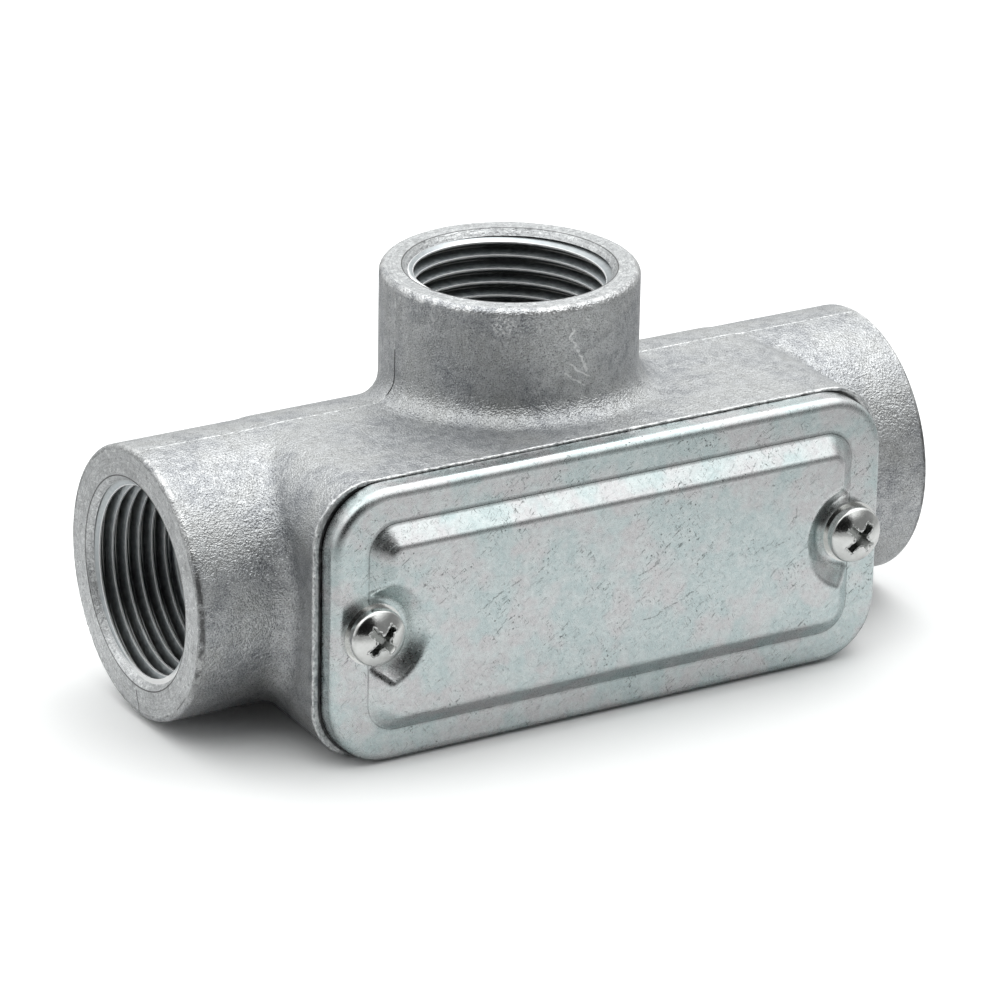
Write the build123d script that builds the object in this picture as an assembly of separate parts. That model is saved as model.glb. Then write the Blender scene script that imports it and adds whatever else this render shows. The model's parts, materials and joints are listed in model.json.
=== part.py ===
from build123d import *
import math
import os

# Type T conduit body: an aluminium casting with three threaded hubs round a wiring chamber,
# closed by a stamped steel cover on two pan head screws. All sizes are in millimetres.
#
# It is drawn in the fitting's own frame: the origin is where the axes of the run and the branch
# cross, X lies along the run, +Z up the branch and -Y out through the cover. The finished pieces
# are then set down on the ground, under the middle of their common outline.

# Bores before threading, with the countersink at the mouth and the smooth throat behind
bore_radius = 14.85
hub_length = 15.2
mouth_flare = 1.8
mouth_depth = 1.0
throat_step = 1.55
throat_edge_radius = 1.4

# Hubs, one-inch trade size
run_length = 130.0
run_hub_wall = 6.65
run_hub_edge_radius = 0.8
branch_hub_wall = 5.35
branch_rise = 18.9
branch_hub_edge_radius = 1.1
branch_foot_fillet = 4.0

# Wiring chamber: half round at the back, a little proud of the hubs, with walls that flare to the rim
chamber_swell = 0.2
rim_reach = 7.1
rim_flare = 0.9
chamber_corner_radius = 9.4
chamber_end_fillet = 3.5
rim_edge_radius = 0.5
wall = 3.1

# Screws, with their bosses inside the ends of the chamber
shank_radius = 2.2
tapped_hole_clearance = 0.25
tapped_hole_depth = 12.2
boss_wall = 2.2
boss_length = 14.0
boss_sink = 0.25
boss_web_width = 6.4

# Cover: a stamped pan with a raised panel, whose ends give way in a pocket round each screw
sheet = 1.2
cover_end_setback = 1.3
cover_side_setback = 0.3
cover_corner_extra = 0.4
cover_foot_gap = 0.3
cover_skirt = 3.7
cover_bend_radius = 1.5
end_border = 5.85
side_border = 5.35
panel_height = 2.6
panel_slope_width = 3.0
panel_top_corner_radius = 1.8
panel_edge_radius = 1.4
least_bend_radius = 0.2
pocket_margin = 0.8
pocket_ridge_radius = 1.6
screw_hole_clearance = 0.45

# No. 10 pan heads with a cross recess, each on a washer
washer_margin = 0.4
washer_thickness = 1.1
washer_hole_clearance = 0.35
head_radius = 4.54
head_side = 1.7
head_height = 3.4
head_shoulder_radius = 0.8
shank_length = 12.7
shank_tip_chamfer = 0.6
recess_span = 6.0
recess_floor_span = 3.0
recess_width = 1.4
recess_floor_width = 1.0
recess_depth = 2.2
recess_heart_radius = 1.5
recess_heart_floor_radius = 0.9
recess_turn = 45.0
quarter_turn = 90.0

# Hubs and chamber, from the sizes above
bore_depth = hub_length
mouth_radius = bore_radius + mouth_flare
throat_radius = bore_radius - throat_step
run_half = run_length / 2
run_hub_radius = bore_radius + run_hub_wall
branch_hub_radius = bore_radius + branch_hub_wall
branch_face_height = run_hub_radius + branch_rise
rim_y = -(run_hub_radius + rim_reach)
rim_half_height = run_hub_radius + rim_flare
chamber_radius = run_hub_radius + chamber_swell
chamber_half_length = run_half - hub_length
cavity_half_length = chamber_half_length - wall
cavity_corner_radius = chamber_corner_radius - wall

# Cover, bosses and screws, from the sizes above
cover_half_length = chamber_half_length - cover_end_setback
cover_half_height = rim_half_height - cover_side_setback
cover_corner_radius = chamber_corner_radius + cover_corner_extra
cover_foot_y = rim_y - cover_foot_gap
cover_front_y = cover_foot_y - cover_skirt
panel_half_length = cover_half_length - end_border
panel_half_height = cover_half_height - side_border
panel_corner_radius = panel_top_corner_radius + panel_slope_width
tapped_hole_radius = shank_radius + tapped_hole_clearance
boss_radius = tapped_hole_radius + boss_wall
screw_x = cavity_half_length + boss_sink - boss_radius
screw_hole_radius = shank_radius + screw_hole_clearance
washer_hole_radius = shank_radius + washer_hole_clearance
washer_radius = head_radius + washer_margin
pocket_radius = washer_radius + pocket_margin
boss_top_y = cover_front_y + sheet
washer_front_y = cover_front_y - washer_thickness
head_rise = head_height - head_side
dome_radius = (head_radius**2 + head_rise**2) / (2 * head_rise)
recess_rim_height = head_height - dome_radius + math.sqrt(dome_radius**2 - recess_heart_radius**2)
front_y = washer_front_y - recess_rim_height

# How far a cut runs past the stock, and how far an edge lies from a border to be picked
cut_margin = 1.0
edge_margin = 1.0
same_place = 0.001

# From the fitting's frame to the ground
set_down = Pos(0, -(front_y + chamber_radius) / 2, rim_half_height)


def facing_cover(y):
    """Plane across the fitting at depth y, seen from the front: its x is X and its y is Z."""
    return Plane(origin=(0, y, 0), x_dir=(1, 0, 0), z_dir=(0, -1, 0))


def along_run(solid):
    """Turn a solid from +Z to +X, with its seam at the back, clear of the chamber's blends."""
    return Rotation(90, 0, 0) * (Rotation(0, 90, 0) * solid)


def out_of_cover(solid, x, y):
    """Turn a solid from +Z to -Y, with its base at depth y on the screw line."""
    return Pos(x, y, 0) * Rotation(90, 0, 0) * solid


def chamber_form(radius, half_height, half_length, corner_radius):
    """Half round back, two flat walls tangent to it, and rounded ends."""
    reach = math.hypot(rim_y, half_height)
    tangent_turn = math.atan2(half_height, -rim_y) + math.acos(radius / reach)
    tangent_y = -radius * math.cos(tangent_turn)
    tangent_z = radius * math.sin(tangent_turn)
    upper_wall = Line((tangent_y, tangent_z), (rim_y, half_height))
    lower_wall = Line((rim_y, -half_height), (tangent_y, -tangent_z))
    back = ThreePointArc((tangent_y, -tangent_z), (radius, 0), (tangent_y, tangent_z))
    front = Line((rim_y, half_height), (rim_y, -half_height))
    section = make_face(Plane.YZ * Curve([lower_wall, back, upper_wall, front]))
    form = extrude(section, amount=half_length, both=True)
    ends = [
        edge
        for edge in form.edges()
        if abs(abs(edge.center().X) - half_length) < same_place
        and edge.center().Y > rim_y + same_place
    ]
    return fillet(ends, corner_radius)


def hub_bore():
    """Plain bore with its countersink, opening at z = 0 and running down -Z."""
    bore = Pos(0, 0, -bore_depth / 2) * Cylinder(bore_radius, bore_depth)
    mouth = Pos(0, 0, -mouth_depth / 2) * Cone(bore_radius, mouth_radius, mouth_depth)
    return bore + mouth


def outer_casting():
    """The outside of the casting, with the blends between chamber, hubs and branch."""
    chamber = chamber_form(
        chamber_radius, rim_half_height, chamber_half_length, chamber_corner_radius
    )
    run = along_run(Cylinder(run_hub_radius, run_length))
    branch = Pos(0, 0, branch_face_height / 2) * Cylinder(branch_hub_radius, branch_face_height)
    body = chamber + run + branch
    end_joints = [
        edge
        for edge in body.edges()
        if edge.geom_type != GeomType.LINE
        and run_half - edge_margin > abs(edge.center().X) > branch_hub_radius
        and edge.center().Y > rim_y + edge_margin
    ]
    body = fillet(end_joints, chamber_end_fillet)
    branch_foot = [
        edge
        for edge in body.edges()
        if edge.geom_type != GeomType.LINE
        and abs(edge.center().X) < branch_hub_radius + edge_margin
        and 0 < edge.center().Z < branch_face_height - edge_margin
        and edge.center().Y > rim_y + edge_margin
    ]
    body = fillet(branch_foot, branch_foot_fillet)
    run_rims = [
        edge for edge in body.edges() if abs(abs(edge.center().X) - run_half) < same_place
    ]
    body = fillet(run_rims, run_hub_edge_radius)
    branch_rim = [
        edge for edge in body.edges() if abs(edge.center().Z - branch_face_height) < same_place
    ]
    body = fillet(branch_rim, branch_hub_edge_radius)
    chamber_rim = [edge for edge in body.edges() if abs(edge.center().Y - rim_y) < same_place]
    return fillet(chamber_rim, rim_edge_radius)


def screw_boss(side):
    """Boss that carries the cover and takes one screw, joined to the end wall by a web."""
    x = side * screw_x
    base_y = boss_top_y + boss_length
    boss = out_of_cover(Pos(0, 0, boss_length / 2) * Cylinder(boss_radius, boss_length), x, base_y)
    web_length = chamber_half_length - wall / 2 - screw_x
    web_depth = base_y - rim_y
    web = Pos(x + side * web_length / 2, base_y - web_depth / 2, 0) * Box(
        web_length, web_depth, boss_web_width
    )
    return boss + web


def make_casting():
    cavity = chamber_form(
        chamber_radius - wall, rim_half_height - wall, cavity_half_length, cavity_corner_radius
    )
    body = outer_casting() - cavity
    throat_length = 2 * (chamber_half_length + cut_margin)
    body -= along_run(Cylinder(throat_radius, throat_length))
    branch_throat_top = branch_face_height - bore_depth + cut_margin
    body -= Pos(0, 0, branch_throat_top / 2) * Cylinder(throat_radius, branch_throat_top)
    right_bore = Pos(run_half, 0, 0) * along_run(hub_bore())
    body -= right_bore
    body -= Rotation(0, 0, 180) * right_bore
    body -= Pos(0, 0, branch_face_height) * hub_bore()
    throat_mouths = [
        edge
        for edge in body.edges()
        if edge.geom_type == GeomType.CIRCLE
        and abs(edge.radius - throat_radius) < same_place
        and (
            abs(abs(edge.center().X) - (run_half - bore_depth)) < same_place
            or abs(edge.center().Z - (branch_face_height - bore_depth)) < same_place
        )
    ]
    body = fillet(throat_mouths, throat_edge_radius)
    hole = Pos(0, 0, tapped_hole_depth / 2) * Cylinder(
        tapped_hole_radius, tapped_hole_depth
    )
    for side in (-1, 1):
        body += screw_boss(side)
        body -= out_of_cover(hole, side * screw_x, boss_top_y + tapped_hole_depth)
    return body


def cover_form(inset):
    """Pan with its raised panel: the outer form, or the inner one a sheet behind."""
    behind = sheet if inset else 0.0
    foot_y = cover_foot_y + (cut_margin if inset else 0.0)
    border_y = cover_front_y + behind
    pan_outline = RectangleRounded(
        2 * (cover_half_length - behind),
        2 * (cover_half_height - behind),
        cover_corner_radius - behind,
    )
    pan = extrude(facing_cover(foot_y) * pan_outline, amount=foot_y - border_y)
    pan = fillet(pan.edges().group_by(Axis.Y)[0], cover_bend_radius - behind)
    form = pan + raised_panel(border_y, behind)
    foot_edges = [
        edge
        for edge in form.edges()
        if lies_at_depth(edge, border_y)
        and abs(edge.center().X) < panel_half_length + edge_margin
        and abs(edge.center().Z) < panel_half_height + edge_margin
    ]
    return fillet(foot_edges, panel_edge_radius + behind)


def raised_panel(border_y, behind):
    """Raised panel with sloping sides, and a pocket with the same slope round each screw."""
    slope = panel_slope_width / panel_height
    slope_angle = math.atan2(panel_height, panel_slope_width)
    shrink = behind * math.tan(slope_angle / 2)
    foot_half_length = panel_half_length - shrink
    foot_half_height = panel_half_height - shrink
    top_y = border_y - panel_height
    foot = RectangleRounded(2 * foot_half_length, 2 * foot_half_height, panel_corner_radius)
    top = RectangleRounded(
        2 * (foot_half_length - panel_slope_width),
        2 * (foot_half_height - panel_slope_width),
        panel_corner_radius - panel_slope_width,
    )
    panel = loft([facing_cover(border_y) * foot, facing_cover(top_y) * top])
    depth = panel_height + 2 * cut_margin
    middle_radius = pocket_radius + shrink + slope * panel_height / 2
    pocket = Cone(middle_radius - slope * depth / 2, middle_radius + slope * depth / 2, depth)
    for side in (-1, 1):
        panel -= out_of_cover(pocket, side * screw_x, border_y - panel_height / 2)
    ridges = [
        edge
        for edge in panel.edges()
        if edge.bounding_box().size.Y > panel_height - same_place
        and abs(edge.center().X) > foot_half_length - panel_slope_width
        and abs(edge.center().Z) < pocket_radius + panel_slope_width
    ]
    panel = fillet(ridges, max(pocket_ridge_radius - behind, least_bend_radius))
    top_edges = [edge for edge in panel.edges() if lies_at_depth(edge, top_y)]
    return fillet(top_edges, max(panel_edge_radius - behind, least_bend_radius))


def lies_at_depth(edge, y):
    """Whether an edge lies flat in the plane across the fitting at depth y."""
    box = edge.bounding_box()
    return abs(box.min.Y - y) < same_place and abs(box.max.Y - y) < same_place


def make_cover():
    cover = cover_form(inset=False) - cover_form(inset=True)
    hole = Cylinder(screw_hole_radius, 4 * sheet)
    for side in (-1, 1):
        cover -= out_of_cover(hole, side * screw_x, cover_front_y)
    return cover


def make_washer(side):
    ring = Cylinder(washer_radius, washer_thickness) - Cylinder(
        washer_hole_radius, 2 * washer_thickness
    )
    return out_of_cover(Pos(0, 0, washer_thickness / 2) * ring, side * screw_x, cover_front_y)


def make_screw(side):
    """Pan head screw, drawn with its seat at z = 0 and its head upwards."""
    side_top = (head_radius, head_side)
    crown = (0, head_height)
    head_profile = Curve(
        [
            Line((0, 0), (head_radius, 0)),
            Line((head_radius, 0), side_top),
            RadiusArc(side_top, crown, -dome_radius),
            Line(crown, (0, 0)),
        ]
    )
    head = revolve(make_face(Plane.XZ * head_profile), Axis.Z)
    shoulder = [
        edge
        for edge in head.edges()
        if edge.geom_type == GeomType.CIRCLE and abs(edge.center().Z - head_side) < same_place
    ]
    head = fillet(shoulder, head_shoulder_radius)
    shank = Pos(0, 0, -shank_length / 2) * Cylinder(shank_radius, shank_length)
    tip = shank.edges().group_by(Axis.Z)[0]
    shank = chamfer(tip, shank_tip_chamfer)
    recess = Pos(0, 0, head_height - recess_depth / 2) * Cone(
        recess_heart_floor_radius, recess_heart_radius, recess_depth
    )
    for turn in (recess_turn, recess_turn + quarter_turn):
        mouth = Plane.XY.offset(head_height) * Rectangle(recess_span, recess_width)
        floor = Plane.XY.offset(head_height - recess_depth) * Rectangle(
            recess_floor_span, recess_floor_width
        )
        recess += Rotation(0, 0, turn) * loft([floor, mouth])
    return out_of_cover(head + shank - recess, side * screw_x, washer_front_y)


os.makedirs("parts", exist_ok=True)

nodes = {
    "body_casting": make_casting(),
    "cover": make_cover(),
    "washer_left": make_washer(-1),
    "washer_right": make_washer(1),
    "screw_left": make_screw(-1),
    "screw_right": make_screw(1),
}

for name, solid in nodes.items():
    export_step(set_down * solid, f"parts/{name}.step")
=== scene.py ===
import json
import math

import bpy
import numpy as np
from mathutils import Matrix, Vector
from mathutils.bvhtree import BVHTree
from mathutils.noise import noise as noise_at


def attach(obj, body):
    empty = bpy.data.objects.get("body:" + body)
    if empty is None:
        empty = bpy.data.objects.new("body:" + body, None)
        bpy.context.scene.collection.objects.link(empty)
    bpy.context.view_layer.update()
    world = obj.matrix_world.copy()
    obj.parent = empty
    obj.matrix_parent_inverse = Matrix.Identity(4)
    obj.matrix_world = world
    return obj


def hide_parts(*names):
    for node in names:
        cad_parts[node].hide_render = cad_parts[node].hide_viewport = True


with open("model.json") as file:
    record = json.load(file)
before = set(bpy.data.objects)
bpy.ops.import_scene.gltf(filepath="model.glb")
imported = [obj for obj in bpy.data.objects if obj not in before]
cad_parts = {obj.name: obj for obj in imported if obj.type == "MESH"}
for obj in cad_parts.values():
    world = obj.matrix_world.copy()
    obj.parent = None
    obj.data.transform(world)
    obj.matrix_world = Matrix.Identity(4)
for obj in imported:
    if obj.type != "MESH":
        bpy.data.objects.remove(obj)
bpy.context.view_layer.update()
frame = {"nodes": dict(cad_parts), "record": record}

bpy.context.scene.view_settings.view_transform = "Standard"

# The frame of the fitting: the axes of the run and the branch cross at AXIS, in the row frame.
# Sizes and places are in millimetres from AXIS, but those of the floor and the lamp are in metres.
MM = 0.001
mounts = {m["name"]: m for m in frame["record"]["mounts"]}
AXIS = Vector((0.0, mounts["run_hub_left"]["pos_m"][1], mounts["run_hub_left"]["pos_m"][2]))

# Sizes shared with the solids
RUN_HALF = 65.0
RUN_R = 21.5
BRANCH_TOP = 40.4
BORE_DEPTH = 15.2
MOUTH_R = 16.65
RIM_Y = -28.6
RIM_HALF_X = 49.8
RIM_HALF_Z = 22.4
RIM_CORNER = 9.4
COVER_HALF_X = 48.5
COVER_HALF_Z = 22.1
COVER_CORNER = 9.8
FOOT_HALF_X = 42.65
FOOT_HALF_Z = 16.75
FOOT_CORNER = 4.8
SCREW_X = 42.3
HEAD_BASE_Y = -33.7
HEAD_SIDE = 1.7
HEAD_RISE = 1.7
HEAD_R = 4.54
HEAD_FRONT_Y = -36.93
RECESS_SPAN = 5.6
RECESS_WIDTH = 1.5
DOME_R = (HEAD_R ** 2 + HEAD_RISE ** 2) / (2 * HEAD_RISE)
DOME_CENTRE_Y = HEAD_BASE_Y - HEAD_SIDE - HEAD_RISE + DOME_R

# Camera, fitted to the photograph: its angles, its distance, its place off AXIS and its lens
CAM_AZ = math.radians(30.574)
CAM_EL = math.radians(22.431)
CAM_ROLL = math.radians(1.034)
CAM_DIST = 43.945 * RUN_R * MM
CAM_SIDE = -0.041 * RUN_R * MM
CAM_UP = 0.049 * RUN_R * MM
CAM_FOCAL_PX = 6038.3
PICTURE_PX = 1000.0
SENSOR_WIDTH = 36.0


def link_object(name, data):
    made = bpy.data.objects.new(name, data)
    bpy.context.scene.collection.objects.link(made)
    return made


def make_camera():
    back = Vector((
        -math.sin(CAM_AZ) * math.cos(CAM_EL),
        -math.cos(CAM_AZ) * math.cos(CAM_EL),
        math.sin(CAM_EL),
    ))
    right = (-back).cross(Vector((0, 0, 1))).normalized()
    up = right.cross(-back)
    turned_right = right * math.cos(CAM_ROLL) + up * math.sin(CAM_ROLL)
    turned_up = up * math.cos(CAM_ROLL) - right * math.sin(CAM_ROLL)
    data = bpy.data.cameras.new("camera")
    data.sensor_width = SENSOR_WIDTH
    data.lens = SENSOR_WIDTH * CAM_FOCAL_PX / PICTURE_PX
    data.clip_start = 0.05
    data.clip_end = 20.0
    camera = link_object("camera", data)
    place = Matrix((turned_right, turned_up, back)).transposed().to_4x4()
    place.translation = AXIS + back * CAM_DIST + right * CAM_SIDE + up * CAM_UP
    camera.matrix_world = place
    bpy.context.scene.camera = camera


make_camera()


# Shader nodes

def new_material(name):
    material = bpy.data.materials.new(name)
    material.use_nodes = True
    tree = material.node_tree
    shader = tree.nodes["Principled BSDF"]
    shader.inputs["Metallic"].default_value = 1.0
    return material, tree, shader


def node(tree, kind, **values):
    made = tree.nodes.new(kind)
    for key, value in values.items():
        setattr(made, key, value)
    return made


def feed(tree, socket, value):
    """Set a socket to a number or a colour, or link it to another socket."""
    if isinstance(value, (int, float)):
        socket.default_value = value
    elif isinstance(value, (tuple, list)):
        socket.default_value = (*value, 1.0) if len(socket.default_value) == 4 else value
    else:
        tree.links.new(value, socket)


def calc(tree, operation, a, b=None, clamp=False):
    made = node(tree, "ShaderNodeMath", operation=operation, use_clamp=clamp)
    for socket, value in zip(made.inputs, (a, b)):
        if value is not None:
            feed(tree, socket, value)
    return made.outputs["Value"]


def chain(tree, operation, first, *others):
    for other in others:
        first = calc(tree, operation, first, other)
    return first


def add(tree, *values):
    return chain(tree, "ADD", *values)


def subtract(tree, a, b):
    return calc(tree, "SUBTRACT", a, b)


def multiply(tree, *values):
    return chain(tree, "MULTIPLY", *values)


def largest(tree, *values):
    return chain(tree, "MAXIMUM", *values)


def size_of(tree, value):
    return calc(tree, "ABSOLUTE", value)


def length(tree, a, b):
    return calc(tree, "SQRT", add(tree, multiply(tree, a, a), multiply(tree, b, b)))


def ramp(tree, value, low, high, low_out=0.0, high_out=1.0, smooth=False):
    made = node(tree, "ShaderNodeMapRange")
    if smooth:
        made.interpolation_type = "SMOOTHSTEP"
    for name, number in (
        ("From Min", low), ("From Max", high), ("To Min", low_out), ("To Max", high_out)
    ):
        made.inputs[name].default_value = number
    tree.links.new(value, made.inputs["Value"])
    return made.outputs["Result"]


def band(tree, value, centre, half_width, soft):
    """One where value lies within half_width of centre, falling to nothing over soft."""
    away = size_of(tree, subtract(tree, value, centre))
    return ramp(tree, away, half_width, half_width + soft, 1.0, 0.0)


def mix_colour(tree, factor, a, b):
    made = node(tree, "ShaderNodeMix", data_type="RGBA", blend_type="MIX")
    colours = [socket for socket in made.inputs if socket.type == "RGBA"]
    feed(tree, made.inputs["Factor"], factor)
    feed(tree, colours[0], a)
    feed(tree, colours[1], b)
    return [socket for socket in made.outputs if socket.type == "RGBA"][0]


def from_axis(tree):
    """Place on the piece in millimetres from AXIS."""
    made = node(tree, "ShaderNodeMapping")
    made.inputs["Location"].default_value = tuple(-c / MM for c in AXIS)
    made.inputs["Scale"].default_value = (1 / MM, 1 / MM, 1 / MM)
    tree.links.new(node(tree, "ShaderNodeTexCoord").outputs["Object"], made.inputs["Vector"])
    return made.outputs["Vector"]


def split(tree, vector):
    made = node(tree, "ShaderNodeSeparateXYZ")
    tree.links.new(vector, made.inputs[0])
    return made.outputs


def split_colour(tree, colour):
    made = node(tree, "ShaderNodeSeparateColor")
    tree.links.new(colour, made.inputs[0])
    return made.outputs[0]


def noise(tree, place, per_mm, detail=2.0, roughness=0.5, distortion=0.0):
    made = node(tree, "ShaderNodeTexNoise")
    for name, number in (
        ("Scale", per_mm), ("Detail", detail), ("Roughness", roughness), ("Distortion", distortion)
    ):
        made.inputs[name].default_value = number
    tree.links.new(place, made.inputs["Vector"])
    return made.outputs["Fac"]


def stretched(tree, place, turn, scale):
    """The place turned by some angles in degrees, then scaled unevenly, for streaks."""
    turned = node(tree, "ShaderNodeMapping")
    turned.inputs["Rotation"].default_value = tuple(math.radians(a) for a in turn)
    tree.links.new(place, turned.inputs["Vector"])
    drawn = node(tree, "ShaderNodeMapping")
    drawn.inputs["Scale"].default_value = scale
    tree.links.new(turned.outputs["Vector"], drawn.inputs["Vector"])
    return drawn.outputs["Vector"]


def unsteady(tree, place, value, per_mm, reach):
    """The value led astray by half of reach at most, so that a line drawn on it isn't straight."""
    astray = subtract(tree, noise(tree, place, per_mm, 2.0, 0.6), 0.5)
    return add(tree, value, multiply(tree, astray, reach))


def specks(tree, place, per_mm, size, share):
    """Small round specks in a share of the cells of a grid."""
    made = node(tree, "ShaderNodeTexVoronoi")
    made.inputs["Scale"].default_value = per_mm
    tree.links.new(place, made.inputs["Vector"])
    chosen = calc(tree, "LESS_THAN", split_colour(tree, made.outputs["Color"]), share)
    near = ramp(tree, made.outputs["Distance"], size, size * 0.5)
    return multiply(tree, near, chosen)


def stroke(tree, across, up, points, half_width):
    """One on a thin line through some points, given in the plane of across and up."""
    nearest = None
    for (a0, u0), (a1, u1) in zip(points, points[1:]):
        run, rise = a1 - a0, u1 - u0
        from_a = subtract(tree, across, a0)
        from_u = subtract(tree, up, u0)
        travelled = add(tree, multiply(tree, from_a, run), multiply(tree, from_u, rise))
        along = calc(tree, "DIVIDE", travelled, run ** 2 + rise ** 2, clamp=True)
        away = length(
            tree,
            subtract(tree, from_a, multiply(tree, along, run)),
            subtract(tree, from_u, multiply(tree, along, rise)),
        )
        nearest = away if nearest is None else calc(tree, "MINIMUM", nearest, away)
    return ramp(tree, nearest, half_width * 2, half_width * 0.8)


def spot(tree, place, centre, radius):
    made = node(tree, "ShaderNodeVectorMath", operation="DISTANCE")
    tree.links.new(place, made.inputs[0])
    made.inputs[1].default_value = centre
    return ramp(tree, made.outputs["Value"], radius, radius * 0.5, smooth=True)


def past_outline(tree, place, half_x, half_z, corner):
    """How far a place lies outside an oblong with round corners, less than nought inside it."""
    x, _, z = split(tree, place)
    across = subtract(tree, size_of(tree, x), half_x - corner)
    up = subtract(tree, size_of(tree, z), half_z - corner)
    beyond = length(tree, largest(tree, across, 0.0), largest(tree, up, 0.0))
    inside = calc(tree, "MINIMUM", largest(tree, across, up), 0.0)
    return subtract(tree, add(tree, beyond, inside), corner)


def bump(tree, shader, height, depth_mm):
    made = node(tree, "ShaderNodeBump")
    made.inputs["Distance"].default_value = depth_mm * MM
    tree.links.new(height, made.inputs["Height"])
    tree.links.new(made.outputs["Normal"], shader.inputs["Normal"])


# The casting's material

# Tones of its skin and of its grains, and of what wear, dirt and knocks leave on it, and painted
# light and shade: a pale pool on the branch's front, highlights on edges and the parting line, and
# shadow in the cover's gap, the pits and the seam
CAST_DARK = (0.35, 0.36, 0.38)
CAST_MIDDLE = (0.475, 0.48, 0.48)
CAST_LIGHT = (0.6, 0.61, 0.62)
PAINTED_LIGHT_PALE = (0.8, 0.81, 0.81)
GRAIN_LIGHT = (0.75, 0.76, 0.76)
GRAIN_DARK = (0.14, 0.14, 0.15)
WEAR_AND_HIGHLIGHT_BRIGHT = (0.8, 0.8, 0.8)
PARTING_HIGHLIGHT = (0.85, 0.86, 0.86)
STROKE_WHITE = (1.0, 1.0, 1.0)
DIRT_DARK = (0.05, 0.05, 0.05)
GAP_SHADOW_DARK = (0.04, 0.04, 0.04)
PAINTED_SHADE_DARK = (0.03, 0.03, 0.03)

# Bands of tone: the middle, the half width and the soft edge. The gap's band of painted shadow is
# measured from the cover's outline, the others along the axis that they are named for.
GAP_SHADOW_BAND = (-0.3, 0.65, 0.25)
HUB_EDGE_X = (RUN_HALF - 0.3, 0.35, 0.4)
HUB_DIRT_Z = (0.0, 8.0, 5.0)
BRANCH_HIGHLIGHT_Z = (BRANCH_TOP - 0.4, 0.3, 0.4)
RUBBED_Z = (BRANCH_TOP - 3.2, 1.8, 1.5)
PARTING_Y = (0.0, 0.1, 0.1)
SEAM_Y = (0.0, 0.1, 0.08)
SEAM_Z = (26.3, 3.4, 0.6)

# Spots and pits of the photo, each a place and a radius
# A painted pool of light on the front of the branch
BRANCH_FRONT_LIGHT = ((1.5, -20.0, 31.0), 11.0)
BRANCH_SCUFF = ((-11.0, -17.0, 38.0), 2.2)
# Pits drawn as painted shade, with no hollow in the solid
RIM_PITS = (((-49.6, -28.6, -6.2), 0.42), ((-30.2, -28.2, 22.4), 0.4))

# Scratches on the front of the branch, as x and z, and the half widths of the long and the short
BRANCH_SQUIGGLE = ((-0.3, 37.3), (-1.1, 35.2), (-0.2, 34.2), (0.2, 33.0), (1.1, 31.6), (1.9, 29.5))
BRANCH_SCRATCHES = (
    ((-1.8, 29.6), (-0.4, 28.5), (1.7, 27.1)),
    ((-0.9, 31.0), (0.4, 29.7), (2.6, 28.4)),
)
SQUIGGLE_HALF = 0.17
SCRATCH_HALF = 0.1


def cast_skin(tree, place, clouds, grit):
    """Cooler and lighter patches, painted light on the branch's front, with light and dark grains."""
    patches = noise(tree, place, 0.11, 3.0, 0.55)
    tone = mix_colour(tree, ramp(tree, patches, 0.38, 0.62, smooth=True), CAST_DARK, CAST_MIDDLE)
    tone = mix_colour(tree, ramp(tree, clouds, 0.38, 0.64, 0.0, 0.75), tone, CAST_LIGHT)
    # Painted pool of light on the front of the branch, broken up by the clouds
    front = multiply(tree, spot(tree, place, *BRANCH_FRONT_LIGHT), ramp(tree, clouds, 0.3, 0.6, 0.2, 1.0))
    tone = mix_colour(tree, multiply(tree, front, 0.45), tone, PAINTED_LIGHT_PALE)
    tone = mix_colour(tree, ramp(tree, grit, 0.53, 0.7, 0.0, 0.65), tone, GRAIN_LIGHT)
    return mix_colour(tree, ramp(tree, grit, 0.44, 0.28, 0.0, 0.75), tone, GRAIN_DARK)


def cast_edges(tree, place, clouds, tone):
    """Edges rubbed bright, with painted highlight on the branch's top edge and towards the top of the
    run hubs' edges, painted shadow in the gap under the cover, and dirt on the run hubs' edges.
    """
    x, y, z = split(tree, place)
    rim = ramp(tree, y, RIM_Y + 0.9, RIM_Y + 0.3)
    off_cover = past_outline(tree, place, COVER_HALF_X, COVER_HALF_Z, COVER_CORNER)
    # Painted shadow on the rim's face, in the gap round the cover's skirt
    gap = multiply(tree, ramp(tree, y, RIM_Y + 0.3, RIM_Y + 0.12), band(tree, off_cover, *GAP_SHADOW_BAND))
    hub_edge = multiply(
        tree,
        band(tree, size_of(tree, x), *HUB_EDGE_X),
        ramp(tree, length(tree, y, z), RUN_R - 0.8, RUN_R - 0.3),
    )
    # Rubbed bright round the run hubs' edges, brighter towards the top, where it is painted highlight
    hub_edge_wear_and_highlight = multiply(tree, hub_edge, ramp(tree, z, 0.0, 9.0, 0.35, 1.0))
    # Painted highlight along the branch's top edge
    branch_edge_highlight = multiply(tree, band(tree, z, *BRANCH_HIGHLIGHT_Z), 0.8)
    wear_and_highlight = multiply(
        tree, largest(tree, rim, hub_edge_wear_and_highlight, branch_edge_highlight), ramp(tree, clouds, 0.42, 0.6)
    )
    tone = mix_colour(tree, multiply(tree, wear_and_highlight, 0.7), tone, WEAR_AND_HIGHLIGHT_BRIGHT)
    tone = mix_colour(tree, multiply(tree, gap, 0.9), tone, GAP_SHADOW_DARK)
    dirty = multiply(tree, hub_edge, band(tree, z, *HUB_DIRT_Z), ramp(tree, clouds, 0.36, 0.52))
    return mix_colour(tree, multiply(tree, dirty, 0.8), tone, DIRT_DARK), wear_and_highlight


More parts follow.
